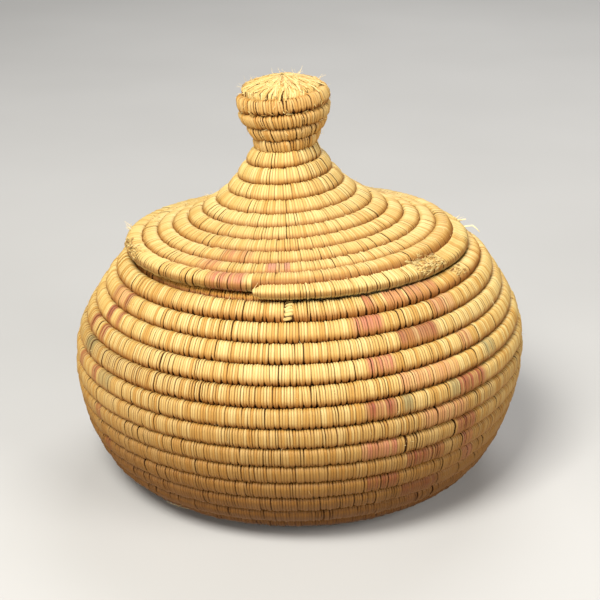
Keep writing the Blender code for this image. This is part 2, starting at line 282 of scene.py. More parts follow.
def taper_start(half, distance):
    """A coil starts thin in the middle of its spiral."""
    return min(half, START_HALF + START_GROWTH * distance)


def taper_tip(half, rounds):
    """A coil ends in a rounded tip."""
    return half * math.sqrt(max(1.0 - (rounds / Coil.TIP) ** 2, 0.05)) if rounds < 0.0 else half


def thin_out(half, last, rounds):
    """A coil thins over its last round."""
    return half + (last - half) * (1.0 - min(max(rounds, 0.0), 1.0))


def make_body_coil():
    outline = Outline((0.0, BASE_HEIGHT), BODY_POINTS, BELLY_RADIUS, MOUTH_HEIGHT)

    def pitch_at(distance, rounds):
        return RIM_PITCH if rounds < 1.0 else BODY_PITCH

    def half_at(distance, rounds):
        half = thin_out(BODY_PITCH / 2.0, RIM_HALF, rounds)
        return taper_start(taper_tip(half, rounds), distance)

    return Coil(outline, pitch_at, half_at, RIM_END_ANGLE, 1, 1, lean_body)


def make_lid_coil():
    outline = Outline((0.0, LID_HEIGHT + DOME), LID_POINTS, MOUTH_RADIUS, LID_HEIGHT)
    neck_point = np.array(NECK) * (MOUTH_RADIUS, LID_HEIGHT)
    neck = outline.along[int(np.linalg.norm(outline.points - neck_point, axis=1).argmin())]

    def pitch_at(distance, rounds):
        if rounds < 1.0:
            return EDGE_PITCH
        blend = float(smooth_step(distance, neck - KNOB_PITCH, neck + CONE_PITCH))
        return KNOB_PITCH + (CONE_PITCH - KNOB_PITCH) * blend

    def half_at(distance, rounds):
        half = thin_out(pitch_at(distance, 1.0) / 2.0, EDGE_HALF, rounds)
        return taper_start(taper_tip(half, rounds - LID_TIP), distance)

    coil = Coil(outline, pitch_at, half_at, EDGE_END_ANGLE, -1, -1, lean_lid)
    coil.neck = coil.rounds_inside(neck)
    return coil


def make_flange_coil():
    """The ring under the lid, whose rounds hang straight down below the brim."""
    top = BRIM_HEIGHT - FLANGE_DROP
    end = top - FLANGE_PITCH * FLANGE_ROUNDS
    points = [(FLANGE_RADIUS, height) for height in (top, end + 1.0 * MM, end)]
    outline = Outline((FLANGE_RADIUS, top + 0.5 * MM), points, 1.0, 1.0)
    end_angle = EDGE_END_ANGLE + 2.0 * math.pi * FLANGE_ROUNDS

    def pitch_at(distance, rounds):
        return FLANGE_PITCH

    def half_at(distance, rounds):
        return taper_tip(FLANGE_HALF, rounds)

    return Coil(outline, pitch_at, half_at, end_angle, 1, -1, lean_lid)


BODY = make_body_coil()
LID = make_lid_coil()
FLANGE = make_flange_coil()


def length_property(name, description, default):
    return FloatProperty(name=name, description=description, default=default, unit="LENGTH")


class StrandSizes(bpy.types.PropertyGroup):
    """The sizes of the sewing strands."""

    spacing: length_property("Strand Spacing", "From one strand to the next on the basket", STRAND_SPACING)
    knob_spacing: length_property("Knob Spacing", "From one strand to the next on the knob", KNOB_SPACING)
    height: length_property("Strand Height", "How far a strand stands up from its bundle", STRAND_HEIGHT)
    slant: length_property("Slant", "How far a strand runs along the coil as it crosses it", STRAND_SLANT)
    seed: IntProperty(name="Seed", description="Changes how the strands lie", default=7)


def colour_property(name, description, default):
    return FloatVectorProperty(
        name=name, description=description, default=default, subtype="COLOR", size=3, min=0.0, max=1.0
    )


class GrassColours(bpy.types.PropertyGroup):
    """The colours of the dry grass and of its old dyes, and of the shade painted on it."""

    pale: colour_property("Pale Straw", "The palest strands", (0.63, 0.51, 0.215))
    straw: colour_property("Straw", "Most of the strands", (0.555, 0.395, 0.135))
    gold: colour_property("Gold", "The deepest strands", (0.42, 0.235, 0.052))
    # Painted shade: the strand edge colour darkens strands where they lie side by side
    edge: colour_property("Strand Edge", "Where strands lie side by side", (0.085, 0.024, 0.002))
    # Painted shade: the foot colour darkens the lower rounds more and more towards the ground
    foot: colour_property("Foot", "Where the basket has browned near the ground", (0.098, 0.034, 0.003))
    # Painted shade: the groove colour darkens strands where they dive into the seam
    groove_shade: colour_property("Groove", "Where strands dive into the seam", (0.18, 0.056, 0.005))
    # Painted shade: the bundle and its stems are nearly black, for the shade in the gaps between strands
    bundle: colour_property("Bundle", "The grass inside the coil", (0.030, 0.010, 0.002))
    stems: colour_property("Stems", "The paler stems in the bundle", (0.10, 0.045, 0.015))
    red: colour_property("Madder Red", "The strongest old dye", (0.235, 0.048, 0.028))
    pink: colour_property("Faded Pink", "The red dye where it has faded", (0.40, 0.135, 0.080))
    blush: colour_property("Blush", "The red dye where it is nearly gone", (0.50, 0.235, 0.105))
    green: colour_property("Grey Green", "The old green dye", (0.20, 0.185, 0.085))
    lilac: colour_property("Lilac", "A cooler faded pink", (0.44, 0.18, 0.135))
    # Partly the rim end's own orange and partly painted light: amber brightens the rim where the lid's edge
    # shades it
    amber: colour_property("Amber", "The worn strands of the rim's end", (0.74, 0.37, 0.070))


def new_piece_from_active(name):
    piece = bpy.context.active_object
    piece.name = name
    piece.data.name = name
    return piece


def deselect():
    if bpy.context.mode != "OBJECT":
        bpy.ops.object.mode_set(mode="OBJECT")
    bpy.ops.object.select_all(action="DESELECT")


# A strand is modelled this wide and high, with its ridge this far over its middle,
# round a coil of this radius, and this far from the next one
MODEL_SIZE = 1.0 * MM
MODEL_RIDGE = 0.667 * MM
MODEL_RADIUS = 4.0 * MM
MODEL_ROOM = 4.0 * MM


def model_strand(start, end, steps):
    """Models one strand: a low three-sided bar, spun round a coil that runs along X."""
    deselect()
    bpy.ops.mesh.primitive_circle_add(vertices=3, radius=1.0, fill_type="NGON")
    strand = new_piece_from_active("strand")
    strand.rotation_euler = (math.pi / 2.0 - start, 0.0, 0.0)
    strand.location = (0.0, MODEL_RADIUS * math.sin(start), MODEL_RADIUS * math.cos(start))
    strand.scale = (MODEL_SIZE / math.sqrt(3.0), MODEL_SIZE / 1.5, 1.0)
    bpy.ops.object.transform_apply(location=True, rotation=True, scale=True)
    bpy.ops.object.mode_set(mode="EDIT")
    bpy.ops.mesh.select_all(action="SELECT")
    bpy.ops.mesh.spin(steps=steps, angle=end - start, center=(0, 0, 0), axis=(1, 0, 0))
    close_shape()
    return strand


def close_shape():
    """Merges points, closes holes and turns faces outwards, and goes back to object mode."""
    bpy.ops.mesh.select_all(action="SELECT")
    bpy.ops.mesh.remove_doubles(threshold=0.001 * MM)
    bpy.ops.mesh.fill_holes(sides=0)
    bpy.ops.mesh.select_all(action="SELECT")
    bpy.ops.mesh.normals_make_consistent(inside=False)
    bpy.ops.object.mode_set(mode="OBJECT")


def repeat(piece, count, spacing):
    """Repeats a piece in a straight row along X. Returns the points of one copy."""
    points = len(piece.data.vertices)
    array = piece.modifiers.new("row", "ARRAY")
    array.count = count
    array.use_relative_offset = False
    array.use_constant_offset = True
    array.constant_offset_displace = (spacing, 0.0, 0.0)
    bpy.ops.object.modifier_apply(modifier=array.name)
    return points


def read_points(piece):
    flat = np.empty(len(piece.data.vertices) * 3)
    piece.data.vertices.foreach_get("co", flat)
    return flat.reshape(-1, 3)


def write_points(piece, points):
    piece.data.vertices.foreach_set("co", points.reshape(-1))
    piece.data.update()


def crease_base(piece, low):
    """Keeps a strand's flat underside out of the smoothing, so that its sides shade gently."""
    ends = np.empty(len(piece.data.edges) * 2, int)
    piece.data.edges.foreach_get("vertices", ends)
    piece.data.edges.foreach_set("use_edge_sharp", low[ends.reshape(-1, 2)].all(axis=1))


def write_attribute(piece, name, kind, values):
    attribute = piece.data.attributes.new(name, kind, "POINT")
    field = {"FLOAT": "value", "FLOAT_VECTOR": "vector", "FLOAT_COLOR": "color"}[kind]
    attribute.data.foreach_set(field, np.ascontiguousarray(values, dtype=np.float32).reshape(-1))


def write_look(piece, grain, tint, seam, dye):
    """What a straw material reads: place on the strand, tone, painted shade as deep in a seam, and dye."""
    write_attribute(piece, "grain", "FLOAT_VECTOR", grain)
    write_attribute(piece, "tint", "FLOAT", tint)
    write_attribute(piece, "seam", "FLOAT", seam)
    write_attribute(piece, "dye", "FLOAT_COLOR", dye)


def finish_mesh(piece, name, hand):
    """Turns faces outwards again where the spiral has mirrored them, and smooths them."""
    if hand < 0:
        piece.data.flip_normals()
    piece.data.polygons.foreach_set("use_smooth", [True] * len(piece.data.polygons))
    piece.data.update()
    piece.name = name
    piece.data.name = name


@dataclass
class Sewing:
    """How one stretch of coil is wrapped."""

    spacing: float = STRAND_SPACING
    height: float = STRAND_HEIGHT
    slant: float = STRAND_SLANT
    # Which edge of the round is sewn to the round before it, how far a group of strands draws
    # together there, and how much narrower they get
    pinch_side: float = -1.0
    pinch: float = 0.52
    narrow: float = 0.24
    # How deep the coil is outside and inside, and how round its two edges are
    depth: float = 1.0
    inner_depth: float = 1.0
    power: float = 0.80
    upper_power: float = 0.55
    reach: float = 0.10
    # How far round the coil the outer strands go, in degrees, and where the coil flattens, in rounds
    outside: float = 104.0
    flatten: tuple = None
    # How many strands a group has, how uneven they lie, and how mixed their colours are
    grouping: tuple = (2, 2, 3, 1, 2)
    rough: float = 1.0
    mixed: float = 1.0
    # Where the painted shade of the seam starts and ends, and how much painted shade darkens the coil's
    # last strands under the lid's edge
    shade: tuple = (-0.15, 0.95)
    last_round_shade: float = 0.0


def round_coil(coil, rounds, share, offset, phi, sewing):
    """A point on the coil's skin: across the round, and out of the surface."""
    cos, sin = np.cos(phi), np.sin(phi)
    half = coil.half(rounds) * share
    depth = np.where(cos > 0.0, sewing.depth, sewing.inner_depth)
    if sewing.flatten:
        first, last, least = sewing.flatten
        depth = depth * np.where(cos > 0.0, 1.0 - (1.0 - least) * smooth_step(rounds, first, last), 1.0)
    power = np.where(sin * sewing.pinch_side > 0.0, sewing.power, sewing.upper_power)
    squared_cos = np.sign(cos) * np.abs(cos) ** power
    squared_sin = np.sign(sin) * np.abs(sin) ** power
    reach = 1.0 + sewing.reach * smooth_step(sin * sewing.pinch_side, 0.2, 1.0)
    return (half * reach + offset) * squared_sin, (half * depth + offset) * squared_cos


# How unlike its neighbours a strand is, and a group of strands
PLACE_SPREAD = 0.08 * MM
LIFT_SPREAD = 0.09 * MM
GROUP_LIFT_SPREAD = 0.07 * MM
SLANT_SPREAD = 0.08 * MM
GROUP_SLANT_SPREAD = 0.27
TINT_SPREAD = 0.26
GROUP_TINT_SPREAD = 0.11
WANDER, WANDER_KNOTS = 0.07, 40
WIDTHS = (0.80, 1.12)
THIN_SHARE, THIN_WIDTH = 0.08, 0.70


def plan_strands(coil, outer, inner, sewing, dice):
    """Where each strand of a stretch lies, and how it differs from its neighbours."""
    low, high = coil.length_at(outer), coil.length_at(inner)
    count = int((high - low) / sewing.spacing)
    places = low + (np.arange(count) + 0.5) * (high - low) / count
    owner = np.repeat(np.arange(count), dice.choice(sewing.grouping, size=count))[:count]
    sizes = np.maximum(np.bincount(owner, minlength=count), 1)
    middles = (np.bincount(owner, weights=places, minlength=count) / sizes)[owner]

    def spread(strand_spread, group_spread=0.0):
        own = dice.normal(0.0, strand_spread, count)
        return own + dice.normal(0.0, group_spread, count)[owner] if group_spread else own

    tone = dice.normal(0.0, GROUP_TINT_SPREAD, count)[owner] * sewing.rough
    knots = np.linspace(low, high, WANDER_KNOTS)
    wander = np.interp(places, knots, dice.normal(0.0, WANDER, WANDER_KNOTS))
    return {
        "rounds": coil.rounds_at(places + spread(PLACE_SPREAD)),
        "pull": (middles - places) * sewing.pinch,
        "width": dice.uniform(*WIDTHS, count) * np.where(dice.random(count) < THIN_SHARE, THIN_WIDTH, 1.0),
        "lift": spread(LIFT_SPREAD, GROUP_LIFT_SPREAD) * sewing.rough,
        "slant": sewing.slant * dice.normal(1.0, GROUP_SLANT_SPREAD, count)[owner] + spread(SLANT_SPREAD),
        "tint": np.clip(0.5 + wander + sewing.mixed * (tone + spread(TINT_SPREAD)), 0.0, 1.0),
        "seed": dice.uniform(0.0, 1.0, count),
    }


def wear(plan, stretches, dice):
    """Leaves out the strands that have worn away, a share of those in each stretch."""
    rounds = plan["rounds"]
    kept = np.ones(len(rounds), bool)
    for first, last, share in stretches:
        inside = (rounds > first) & (rounds < last)
        middle = 1.0 - np.abs(2.0 * (rounds - first) / (last - first) - 1.0)
        kept &= ~(inside & (dice.random(len(kept)) < share * np.minimum(0.4 + 3.0 * middle, 1.0)))
    return {name: values[kept] for name, values in plan.items()}


# How far off a surface its way out is measured
PROBE = 0.5 * MM


def on_skin(coil, rounds, phi, offset, sewing):
    """Places on a coil's skin, and the way out of it there."""
    rounds, phi, offset = np.broadcast_arrays(rounds, phi, offset)
    shape = (*rounds.shape, 3)
    rounds, phi, offset = rounds.ravel(), phi.ravel(), offset.ravel()
    low, high = (
        coil.place(rounds, *round_coil(coil, rounds, 1.0, offset + lift, phi, sewing))
        for lift in (0.0, PROBE)
    )
    out = (high - low) / np.linalg.norm(high - low, axis=1)[:, None]
    return low.reshape(shape), out.reshape(shape)


# Straws are modelled in a row, each of them one long and this far from the next
STRAW_ROOM = 2.0

# What loose straws are bleached with: a colour, and how strongly
PLAIN = (0.0, 0.0, 0.0, 0.0)
WHITE_STRAW = (1.0, 0.84, 0.45, 0.7)
PALE_FIBRE = (1.0, 0.80, 0.42, 0.5)

# How flat a broad stitch is, and how wide its tip is
BROAD = {"flat": 0.3, "tip": 0.9}


def model_straw(steps):
    """Models one straw: a thin three-sided bar along X, extruded step by step."""
    deselect()
    turn = (0.0, math.pi / 2.0, 0.0)
    bpy.ops.mesh.primitive_circle_add(vertices=3, radius=0.5, fill_type="NGON", rotation=turn)
    straw = new_piece_from_active("straw")
    bpy.ops.object.transform_apply(location=True, rotation=True, scale=True)
    bpy.ops.object.mode_set(mode="EDIT")
    bpy.ops.mesh.select_all(action="SELECT")
    for _ in range(steps):
        bpy.ops.mesh.extrude_region_move(TRANSFORM_OT_translate={"value": (1.0 / steps, 0.0, 0.0)})
    close_shape()
    return straw


def lay_straws(name, node, material, places, outs, widths, tints, seams=0.0, dye=PLAIN, flat=0.6, tip=0.3):
    """Lays loose straws, each along its own row of places, and flat on whatever is under it."""
    count, steps = places.shape[0], places.shape[1] - 1
    straw = model_straw(steps)
    per_straw = repeat(straw, count, STRAW_ROOM)
    points = read_points(straw)
    which = np.repeat(np.arange(count), per_straw)
    run = points[:, 0] - STRAW_ROOM * which
    step = np.rint(run * steps).astype(int)
    along = np.gradient(places, axis=1)[which, step]
    side = np.cross(outs[which, step], along)
    side /= np.linalg.norm(side, axis=1)[:, None]
    up = np.cross(along, side)
    up /= np.linalg.norm(up, axis=1)[:, None]
    size = widths[which] * (1.0 - (1.0 - tip) * smooth_step(run, 0.35, 1.0))
    aside, above = points[:, 2] * size, points[:, 1] * size * flat
    crease_base(straw, points[:, 1] < 0.0)
    write_points(straw, places[which, step] - side * aside[:, None] + up * above[:, None])
    grain = np.stack([2.0 * points[:, 2], run, tints[which]], axis=1)
    seams, dyes = np.broadcast_to(seams, count), np.broadcast_to(dye, (count, 4))
    write_look(straw, grain, tints[which], seams[which], dyes[which])
    finish_mesh(straw, name, 1)
    keep(straw, node, material)


def cut_straws(coil, patch, sewing, dice):
    """Short cut straws that lie over a worn place on a coil, more or less along it."""
    first, last, low, high, count, length, spread, lift = patch
    steps = np.linspace(-0.5, 0.5, 4)
    rounds = dice.uniform(first, last, (count, 1))
    phi = np.radians(dice.uniform(low, high, (count, 1)))
    reach = length * dice.uniform(0.5, 1.2, (count, 1))
    turn = dice.normal(0.0, spread, (count, 1))
    radius = coil.radius_at(rounds)
    rounds = rounds + reach * np.cos(turn) * steps / (2.0 * math.pi * radius)
    phi = phi + reach * np.sin(turn) * steps / coil.half(rounds)
    offset = lift * dice.uniform(0.1, 1.0, (count, 1)) + lift * dice.normal(0.0, 0.5, (count, 1)) * steps
    return on_skin(coil, rounds, phi, offset, sewing)


# How deep the root of a free straw sits
ROOT_DEPTH = -0.2 * MM


def free_straws(coil, rounds, phi, heading, bend, length, sewing, steps=4):
    """Straws that stand off a coil. Headings and bends are parts along it, across it and out of it."""
    place, out = on_skin(coil, rounds, phi, ROOT_DEPTH, sewing)
    ahead = on_skin(coil, rounds + 0.002, phi, ROOT_DEPTH, sewing)[0] - place
    along = ahead / np.linalg.norm(ahead, axis=1)[:, None]
    axes = np.stack([along, np.cross(out, along), out], axis=1)
    run = np.linspace(0.0, 1.0, steps + 1)[None, :, None]
    first, second = (np.einsum("ni,nij->nj", way, axes)[:, None, :] for way in (heading, bend))
    places = place[:, None, :] + length[:, None, None] * (run * first + run * run * second)
    ups = np.broadcast_to(axes[:, None, 1, :] + 0.3 * axes[:, None, 2, :], places.shape)
    return places, ups


# Half a strand's width, as a share of the spacing: neighbours lie over each other a little
HALF_WIDTH = 0.59

# Where a round's two seams start, from its middle out, and how deep a strand dives at its ends
# and in its seam
SEAM_FROM, OTHER_SEAM_FROM = 0.45, 0.80
END_DIVE, SEAM_DIVE = 0.35 * MM, 0.06 * MM


def sew(name, coil, plan, start, end, steps, sewing):
    """Lays a row of strands along the coil, each from the angle start to the angle end round it."""
    strand = model_strand(start, end, steps)
    count = len(plan["rounds"])
    per_strand = repeat(strand, count, MODEL_ROOM)
    points = read_points(strand)
    which = np.repeat(np.arange(count), per_strand)
    each = {key: values[which] for key, values in plan.items()}
    phi = np.arctan2(points[:, 1], points[:, 2])
    phi = np.where(phi < start - 0.2, phi + 2.0 * math.pi, phi)
    run = np.clip((phi - start) / (end - start), 0.0, 1.0)
    aside = (points[:, 0] - which * MODEL_ROOM) / (0.5 * MODEL_SIZE)
    above = (np.hypot(points[:, 1], points[:, 2]) - MODEL_RADIUS) / MODEL_RIDGE
    crease_base(strand, above < 0.0)
    side = np.sin(phi) * sewing.pinch_side
    seam = smooth_step(side, SEAM_FROM, 1.0)
    other_seam = smooth_step(-side, OTHER_SEAM_FROM, 1.0)
    narrowed = 1.0 - sewing.narrow * seam - 0.06 * other_seam
    along = aside * sewing.spacing * HALF_WIDTH * each["width"] * narrowed
    along -= each["pull"] * (0.08 + 0.92 * seam)
    along += each["slant"] * side * 0.5 * coil.growth
    ends = 1.0 - smooth_step(np.minimum(run, 1.0 - run), 0.0, 0.10)
    offset = sewing.height * (above * (1.0 - 0.25 * seam) - 0.25) + each["lift"]
    offset -= END_DIVE * ends + SEAM_DIVE * seam
    radius = np.maximum(coil.radius_at(each["rounds"]), 2.0 * MM)
    rounds = each["rounds"] - along / (2.0 * math.pi * radius)
    across, out = round_coil(coil, rounds, 1.0, offset, phi, sewing)
    write_points(strand, coil.place(rounds, across, out))
    # Painted shade: strands darken towards the seam they dive into, a little towards the other seam, and
    # more on the last round
    shade = np.maximum(smooth_step(side, *sewing.shade), 0.45 * other_seam)
    # Painted shade: the rim's last round darkens a little more where it lies under the lid's edge
    shade = shade + sewing.last_round_shade * (1.0 - smooth_step(each["rounds"], 0.45, 0.70))
    grain = np.stack([aside, run, each["seed"]], axis=1)
    write_look(strand, grain, each["tint"], np.clip(shade, 0.0, 1.0), each["dye"])
    finish_mesh(strand, name, coil.side * coil.growth)
    return strand


# The bundle's thickness as a share of the coil's, its mesh, and how close its stems' pattern is
BUNDLE_SHARE = 0.87
BUNDLE_STEPS, BUNDLE_SIDES = 64, 12
STEMS_A_ROUND = 90.0


def roll_bundle(name, coil, outer, inner, sewing):
    """Rolls a flat grid into the bundle of grass that the strands wrap."""
    steps = max(int((inner - outer) * BUNDLE_STEPS), 4)
    deselect()
    bpy.ops.mesh.primitive_grid_add(x_subdivisions=steps, y_subdivisions=BUNDLE_SIDES, size=1.0)
    bundle = new_piece_from_active(name)
    points = read_points(bundle)
    rounds = outer + (inner - outer) * (points[:, 0] + 0.5)
    phi = (points[:, 1] + 0.5) * 2.0 * math.pi
    across, out = round_coil(coil, rounds, BUNDLE_SHARE, 0.0, phi, sewing)
    write_points(bundle, coil.place(rounds, across, out))
    grain = np.stack([rounds * STEMS_A_ROUND, phi, 0.0 * phi], axis=1)
    write_attribute(bundle, "grain", "FLOAT_VECTOR", grain)
    bpy.ops.object.mode_set(mode="EDIT")
    close_shape()
    finish_mesh(bundle, name, 1)
    return bundle


class Recipe:
    """A material's nodes, added one after another."""

    def __init__(self, name):
        self.material = bpy.data.materials.new(name)
        self.material.use_nodes = True
        self.tree = self.material.node_tree
        self.shader = self.tree.nodes["Principled BSDF"]

    def add(self, kind, **settings):
        node = self.tree.nodes.new(kind)
        for key, value in settings.items():
            setattr(node, key, value)
        return node

    def join(self, source, target):
        self.tree.links.new(source, target)

    def attribute(self, name, output="Fac"):
        return self.add("ShaderNodeAttribute", attribute_name=name).outputs[output]

    def sum(self, operation, *values, clamp=False):
        """A step of arithmetic on sockets and numbers."""
        node = self.add("ShaderNodeMath", operation=operation, use_clamp=clamp)
        for socket, value in zip(node.inputs, values):
            if isinstance(value, bpy.types.NodeSocket):
                self.join(value, socket)
            else:
                socket.default_value = value
        return node.outputs[0]

    def parts(self, vector):
        node = self.add("ShaderNodeSeparateXYZ")
        self.join(vector, node.inputs[0])
        return node.outputs

    def noise(self, vector, scale, detail, roughness=0.5):
        node = self.add("ShaderNodeTexNoise")
        node.inputs["Scale"].default_value = scale
        node.inputs["Detail"].default_value = detail
        node.inputs["Roughness"].default_value = roughness
        self.join(vector, node.inputs["Vector"])
        return node.outputs["Fac"]

    def stretch(self, vector, scale):
        node = self.add("ShaderNodeMapping")
        node.inputs["Scale"].default_value = scale
        self.join(vector, node.inputs["Vector"])
        return node.outputs["Vector"]

    def ramp(self, factor, stops):
        node = self.add("ShaderNodeValToRGB")
        ramp = node.color_ramp
        while len(ramp.elements) < len(stops):
            ramp.elements.new(0.5)
        for element, (position, colour) in zip(ramp.elements, stops):
            element.position = position
            element.color = (*colour, 1.0)
        self.join(factor, node.inputs["Fac"])
        return node.outputs["Color"]

    def blend(self, factor, first, second):
        node = self.add("ShaderNodeMix", data_type="RGBA")
        for socket, value in ((node.inputs[0], factor), (node.inputs[6], first), (node.inputs[7], second)):
            if isinstance(value, bpy.types.NodeSocket):
                self.join(value, socket)
            elif isinstance(value, float):
                socket.default_value = value
            else:
                socket.default_value = (*value, 1.0)
        return node.outputs[2]

    def finish(self, colour, height, depth, roughness, gloss=0.35):
        self.join(colour, self.shader.inputs["Base Color"])
        self.shader.inputs["Roughness"].default_value = roughness
        self.shader.inputs["Specular IOR Level"].default_value = gloss
        bump = self.add("ShaderNodeBump")
        bump.inputs["Strength"].default_value = 0.5
        bump.inputs["Distance"].default_value = depth
        self.join(height, bump.inputs["Height"])
        self.join(bump.outputs["Normal"], self.shader.inputs["Normal"])
        return self.material


# Colours that aren't for a user to change, and how strongly they show
# Painted shade: the brown that the lower rounds take on towards the foot
FOOT_SHADE_BROWN = (0.33, 0.150, 0.022)
# Painted shade: the warm brown of the seams
WARM_GROOVE_SHADE = (0.40, 0.185, 0.030)
STRAW_CLOUD = (0.56, 0.31, 0.075)
KNOB_CLOUD = (0.42, 0.195, 0.040)
# Where the painted shade of the foot starts
FOOT_SHADE_HEIGHT = 104.0 * MM
FIBRE_CONTRAST = 0.8
# How strongly the painted shade of the seams shows, warm and then dark
WARM_SHADE_SHARE, DARK_SHADE_SHARE = 0.62, 0.92


def foot_shade_share(recipe, place, strongest):
    """How much painted shade a strand takes: more and more towards the foot that the basket stands on."""
    share = recipe.add("ShaderNodeMapRange", interpolation_type="SMOOTHSTEP")
    recipe.join(recipe.parts(place)["Z"], share.inputs["Value"])
    limits = {"From Min": FOOT_SHADE_HEIGHT, "From Max": 0.0, "To Min": 0.0, "To Max": strongest}
    for name, value in limits.items():
        share.inputs[name].default_value = value
    return share.outputs["Result"]


def strand_material(name, colours, warmth, foot=0.0, edges=0.75, cloud=STRAW_CLOUD):
    """Flat dry strands, fibrous along their length, with painted shade where they dive into a seam, between
    neighbours and towards the foot, and partly dyed.
    """
    recipe = Recipe(name)
    grain = recipe.attribute("grain", "Vector")
    fibres = recipe.noise(recipe.stretch(grain, (1.5, 0.5, 31.0)), 2.2, 3.0, 0.6)
    place = recipe.add("ShaderNodeTexCoord").outputs["Object"]
    clouds = recipe.noise(place, 30.0, 3.0)
    tone = recipe.sum("MULTIPLY_ADD", fibres, FIBRE_CONTRAST, -0.5 * FIBRE_CONTRAST)
    tone = recipe.sum("ADD", tone, recipe.attribute("tint"))
    colour = recipe.ramp(tone, ((0.05, colours.gold), (0.45, colours.straw), (0.85, colours.pale)))
    colour = recipe.blend(recipe.sum("MULTIPLY", clouds, warmth), colour, cloud)
    # Painted shade: the lower rounds brown and darken towards the foot
    if foot:
        darkened = foot_shade_share(recipe, place, foot)
        colour = recipe.blend(darkened, colour, FOOT_SHADE_BROWN)
    dye = recipe.add("ShaderNodeAttribute", attribute_name="dye")
    worn = recipe.sum("MULTIPLY_ADD", fibres, 0.7, 0.55)
    strength = recipe.sum("MULTIPLY", dye.outputs["Alpha"], worn, clamp=True)
    colour = recipe.blend(strength, colour, dye.outputs["Color"])
    # Painted shade: the deepest of it, nearest the ground
    if foot:
        colour = recipe.blend(recipe.sum("POWER", darkened, 1.9), colour, colours.foot)
    # Painted shade between neighbouring strands
    aside = recipe.sum("ABSOLUTE", recipe.parts(grain)["X"])
    edge = recipe.sum("MULTIPLY", recipe.sum("POWER", aside, 2.0), edges)
    colour = recipe.blend(edge, colour, colours.edge)
    # Painted shade in the seams: warm brown first, then dark
    seam = recipe.attribute("seam")
    colour = recipe.blend(recipe.sum("MULTIPLY", seam, WARM_SHADE_SHARE), colour, WARM_GROOVE_SHADE)
    depth = recipe.sum("MULTIPLY", recipe.sum("POWER", seam, 1.9), DARK_SHADE_SHARE)
    colour = recipe.blend(depth, colour, colours.groove_shade)
    return recipe.finish(colour, fibres, 0.16 * MM, 0.55, 0.22)


def bundle_material(name, colours):
    """The bundle inside a coil: many fine stems side by side, coloured nearly black as painted shade."""
    recipe = Recipe(name)
    grain = recipe.attribute("grain", "Vector")
    stems = recipe.noise(recipe.stretch(grain, (0.12, 2.6, 1.0)), 3.0, 3.0, 0.6)
    colour = recipe.ramp(stems, ((0.3, colours.bundle), (0.7, colours.stems)))
    return recipe.finish(colour, stems, 0.4 * MM, 0.9, 0.05)


# Faded dyed strands, as stretches of coil counted in rounds from its outer end
RIGHT_DYES = (
    (0.918, 0.927, "pink", 0.75),
    (0.888, 0.908, "blush", 0.8),
    (0.852, 0.886, "pink", 0.65),
    (1.915, 1.939, "pink", 0.75),
    (1.843, 1.868, "pink", 0.65),
    (2.868, 2.905, "red", 0.7),
    (3.912, 3.932, "pink", 0.75),
    (3.841, 3.852, "pink", 0.6),
    (4.862, 4.910, "blush", 0.7),
    (4.819, 4.831, "green", 0.6),
    (5.913, 5.935, "red", 0.75),
    (5.902, 5.910, "green", 0.7),
    (5.864, 5.871, "green", 0.8),
    (5.835, 5.863, "red", 0.9),
    (6.855, 6.895, "blush", 0.65),
    (7.912, 7.936, "pink", 0.8),
    (7.845, 7.864, "red", 0.8),
    (8.873, 8.903, "red", 0.8),
    (8.845, 8.855, "pink", 0.8),
    (9.907, 9.930, "red", 0.8),
    (9.838, 9.850, "pink", 0.7),
    (10.868, 10.902, "red", 0.75),
    (11.880, 11.892, "pink", 0.5),
)
LEFT_DYES = (
    (2.140, 2.146, "red", 0.85),
    (2.146, 2.164, "blush", 0.7),
    (2.164, 2.172, "red", 0.9),
    (3.154, 3.163, "red", 0.9),
    (3.139, 3.145, "red", 0.85),
    (4.173, 4.184, "red", 0.85),
    (4.151, 4.158, "red", 0.8),
    (5.157, 5.176, "green", 0.8),
    (6.170, 6.182, "red", 0.7),
    (6.144, 6.152, "red", 0.8),
    (6.124, 6.141, "green", 0.5),
    (8.139, 8.147, "red", 0.8),
    (10.136, 10.144, "red", 0.7),
)
LID_DYES = (
    (2.948, 2.990, "pink", 0.6),
    (1.930, 1.958, "pink", 0.5),
    (2.010, 2.035, "lilac", 0.7),
    (0.955, 0.993, "pink", 0.75),
    (2.420, 2.470, "pink", 0.55),
    (1.480, 1.515, "lilac", 0.6),
    (3.380, 3.420, "blush", 0.6),
)


def turned(stretches, rounds):
    """The same dyed pattern, part of a round further along the coil."""
    return tuple((first + rounds, last + rounds, *rest) for first, last, *rest in stretches)


# Partly the rim's own orange and partly painted light: the rim end's first half round is brightened to
# amber where the lid's edge shades it
RIM_LIT_AMBER = ((-0.02, 0.56, "amber", 0.9),)
BODY_DYES = RIM_LIT_AMBER + RIGHT_DYES + LEFT_DYES + turned(RIGHT_DYES, -0.43) + turned(LEFT_DYES, 0.16)


# Over how much of a round a dye starts or ends
DYE_EDGE = 0.0015


def dye_strands(plan, stretches, colours, dice):
    """Gives each strand the strongest dye that reaches it."""
    rounds = plan["rounds"]
    dye = np.zeros((len(rounds), 4))
    for first, last, name, strength in stretches:
        inside = smooth_step(rounds, first - DYE_EDGE, first + DYE_EDGE)
        inside *= 1.0 - smooth_step(rounds, last - DYE_EDGE, last + DYE_EDGE)
        strong = inside * strength * dice.uniform(0.5, 1.4, len(inside))
        stronger = strong > dye[:, 3]
        dye[stronger, :3] = tuple(getattr(colours, name))
        dye[stronger, 3] = np.clip(strong[stronger], 0.0, 1.0)
    plan["dye"] = dye


# Worn stretches of coil, in rounds from its outer end, with the share of strands that are gone
BODY_WEAR = (
    (0.985, 0.993, 0.7),
    (4.0800, 4.0818, 1.0),
    (7.9050, 7.9066, 1.0),
)
LID_WEAR = (
    (1.2910, 1.2935, 1.0),
    (2.2600, 2.2625, 1.0),
    (3.5120, 3.5145, 1.0),
)

